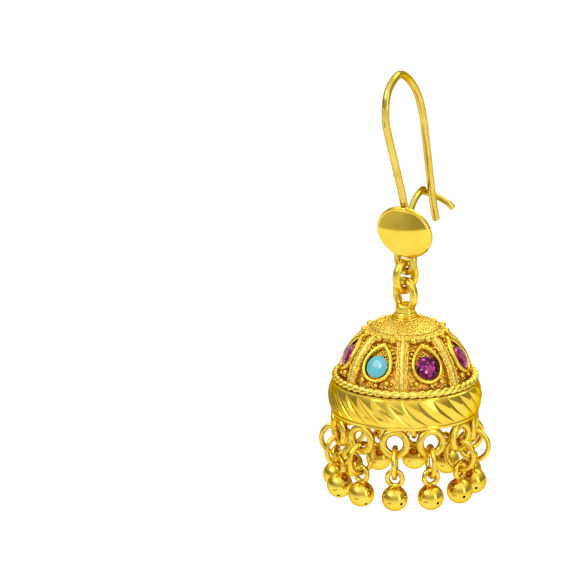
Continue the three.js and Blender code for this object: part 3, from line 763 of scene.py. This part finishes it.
# The vent hole's walls are near black: painted shade inside the hole.
dark = material("vent_hole_painted_shade_look", 0.6, 0.3, (0.03, 0.015, 0.004),
                mottled(3000, (0.02, 0.01, 0.003), (0.06, 0.03, 0.008)))
VENT_MOUTH = 0.19
VENT_WALL = [(0.001, -0.42), (0.15, -0.4), (0.165, -0.2), (0.17, -0.06)]  # radius and height, from the skin
VENTS = [  # azimuth and latitude of each ball's hole, in degrees
    (56, -12), (58, -14), (44, -14), (36, -20), (205, -12), (240, -15), (270, -12), (300, -16), (330, -12),
    (350, -15), (15, -40), (50, -38)]


def vented_ball(shape, centre, radius, azimuth, latitude):
    """A ball with a small round pit in the given direction. Returns the pit's faces."""
    mouth = math.asin(VENT_MOUTH / radius)
    profile = [(r, radius + z) for r, z in VENT_WALL] + [(0.18, radius * math.cos(mouth) - 0.015)]
    skin = np.linspace(mouth * 1.05, math.pi - 0.001, 40)
    profile += [(radius * math.sin(a), radius * math.cos(a)) for a in skin]
    first, around = len(shape.faces), 48
    p = np.array([(r * math.cos(a), r * math.sin(a), z) for r, z in profile for a in circle_angles(around)])
    z = np.array([math.sin(azimuth) * math.cos(latitude), -math.cos(azimuth) * math.cos(latitude),
                  math.sin(latitude)])
    x = np.array([math.cos(azimuth), math.sin(azimuth), 0])
    p = p @ np.stack([x, np.cross(z, x), z])
    shape.add(p + np.asarray(centre), [f[::-1] for f in grid_faces(len(profile), around, False, True)])
    return range(first, first + len(VENT_WALL) * around)


rims = Shape()
for i in range(DROPS):
    azimuth = (i + 0.5) * 2 * math.pi / DROPS
    link_turn, ball_turn = (math.radians(a) for a in TURNS[i % len(TURNS)])
    place = turn([(0, -PITCH_RADIUS, 0)], azimuth)[0]
    number = f"{i + 1:02d}"
    ring(rims, place + [0, 0, RIM_RING_Z], RIM_RING_LOOK, azimuth, 48, 18)
    crossways = azimuth + math.pi / 2 + link_turn
    drop_link = ring(Shape(), place + [0, 0, DROP_LINK_Z], DROP_LINK, crossways, 48, 16)
    drop_link.piece(f"drop_link_look_{number}", cast, "bell", "polished_gold",
                    [f"drop_link_{number}"], at=BELL)
    eye = place + [0, 0, EYE_Z]
    drop = ring(Shape(), eye, EYE, azimuth + ball_turn, 40, 18)
    centre = eye - [0, 0, (EYE[0] + EYE[1]) / 2 + BALL / 2]
    pit = vented_ball(drop, centre, BALL / 2, *(math.radians(a) for a in VENTS[i]))
    drop = drop.piece(f"bead_drop_look_{number}", polished, "bell", "polished_gold",
                      [f"bead_drop_{number}"], at=BELL)
    drop.data.materials.append(dark)
    # The pit's faces get the painted shade of the hole.
    for k in pit:
        drop.data.polygons[k].material_index = 1
rims.piece("rim_rings_look", cast, "bell", "cast_gold", at=BELL)

# Camera, in metres. The bell isn't in the middle of the picture, so the camera turns away from it a little.

bell_place = Vector(BELL.tolist()) * MM
VIEW_SIDE, VIEW_RISE = math.radians(23), math.radians(17)
YAW, PITCH = math.radians(1.003), math.radians(0.813)
DISTANCE, SENSOR = 0.8, 36
FOCAL_PIXELS, PICTURE_PIXELS = 6800, 573

sideways = Vector((math.cos(VIEW_SIDE), math.sin(VIEW_SIDE), 0))
to_camera = Vector((math.sin(VIEW_SIDE) * math.cos(VIEW_RISE), -math.cos(VIEW_SIDE) * math.cos(VIEW_RISE),
                    math.sin(VIEW_RISE)))
up = to_camera.cross(sideways)
yawed = -to_camera * math.cos(YAW) - sideways * math.sin(YAW)
forward = yawed * math.cos(PITCH) + up * math.sin(PITCH)
camera = add_object("camera", bpy.data.cameras.new("camera"))
camera.data.sensor_width = SENSOR
camera.data.lens = FOCAL_PIXELS * SENSOR / PICTURE_PIXELS
camera.data.clip_start, camera.data.clip_end = 0.05, 20
camera.location = bell_place + to_camera * DISTANCE
camera.rotation_euler = forward.to_track_quat("-Z", "Y").to_euler()
bpy.context.scene.camera = camera
bpy.context.scene.view_settings.view_transform = "Standard"

# Stage: a pale floor, and on it a grey card that the disc's upper half reflects

GROUND, CARD_RISE = -0.19, 0.0005
FLOOR_CORNERS = [(-4, -2.5), (4, -2.5), (4, 5), (-4, 5)]
CARD_CORNERS = [(-0.18, -0.1125), (-0.02, -0.186), (-0.02, -0.28), (-0.19, -0.25)]


def card_nodes(look):
    """Lighter at the card's left end than at its right."""
    split = look.nodes.new("ShaderNodeSeparateXYZ")
    look.links.new(look.where, split.inputs["Vector"])
    look.two_tone(look.spread(split.outputs["X"], -0.16, -0.04), (0.48, 0.48, 0.46), (0.26, 0.26, 0.25))


def flat_sheet(name, corners, height, look):
    mesh = bpy.data.meshes.new(name)
    mesh.from_pydata([(x, y, height) for x, y in corners], [], [tuple(range(len(corners)))])
    mesh.materials.append(look)
    return add_object(name, mesh)


floor = flat_sheet("floor", FLOOR_CORNERS, GROUND, material(
    "floor_look", 0.9, 0, (0.93, 0.93, 0.92), mottled(6, (0.94, 0.94, 0.935), (0.925, 0.925, 0.92))))
card = flat_sheet("card", CARD_CORNERS, GROUND + CARD_RISE, material(
    "card_look", 0.9, 0, (0.4, 0.4, 0.39), card_nodes))

# World: brighter above than below, and darker towards both sides of the view

BRIGHTNESS = [(0.0, 0.4), (0.5, 0.62), (0.64, 0.6), (0.75, 0.9), (0.86, 1.2), (1.0, 1.2)]  # from below up
SIDE_SHADE = (0.5, 0.95, 1, 0.5)  # where the shade begins and ends, and the brightness at both
WORLD_STRENGTH = 1.1

world = bpy.data.worlds.new("studio")
bpy.context.scene.world = world
world.use_nodes = True
sky = Look(world.node_tree, "Background", "Generated")
split = sky.nodes.new("ShaderNodeSeparateXYZ")
sky.links.new(sky.where, split.inputs["Vector"])
ramp = sky.nodes.new("ShaderNodeValToRGB")
sky.links.new(sky.spread(split.outputs["Z"], -1, 1), ramp.inputs["Fac"])
for position, _ in BRIGHTNESS[1:-1]:
    ramp.color_ramp.elements.new(position)
for element, (position, value) in zip(ramp.color_ramp.elements, BRIGHTNESS):
    element.color = (value, value, value, 1)
across_view = sky.nodes.new("ShaderNodeVectorMath")
across_view.operation = "DOT_PRODUCT"
sky.links.new(sky.where, across_view.inputs[0])
across_view.inputs[1].default_value = sideways
aside = sky.nodes.new("ShaderNodeMath")
aside.operation = "ABSOLUTE"
sky.links.new(across_view.outputs["Value"], aside.inputs[0])
shade = sky.nodes.new("ShaderNodeVectorMath")
shade.operation = "SCALE"
sky.links.new(ramp.outputs["Color"], shade.inputs[0])
sky.links.new(sky.spread(aside.outputs[0], *SIDE_SHADE), shade.inputs["Scale"])
sky.feed(shade.outputs["Vector"], "Color")
sky.shader.inputs["Strength"].default_value = WORLD_STRENGTH

# Lamps, in metres from the bell

def softbox(name, offset, size, radiance):
    """A rectangular lamp that faces the bell."""
    data = bpy.data.lights.new(name, "AREA")
    data.shape = "RECTANGLE"
    data.size, data.size_y = size
    data.energy = radiance * math.pi * size[0] * size[1]
    lamp = add_object(name, data)
    lamp.location = bell_place + Vector(offset)
    lamp.rotation_euler = (-Vector(offset)).to_track_quat("-Z", "Y").to_euler()


softbox("key", (-0.22, -0.28, 0.34), (0.3, 0.22), radiance=3.2)
softbox("fill", (0.38, -0.16, 0.12), (0.12, 0.34), radiance=2.4)
softbox("glint", (-0.1, -0.34, 0.3), (0.05, 0.05), radiance=18)
softbox("rear", (0.05, 0.35, 0.4), (0.4, 0.2), radiance=2.6)
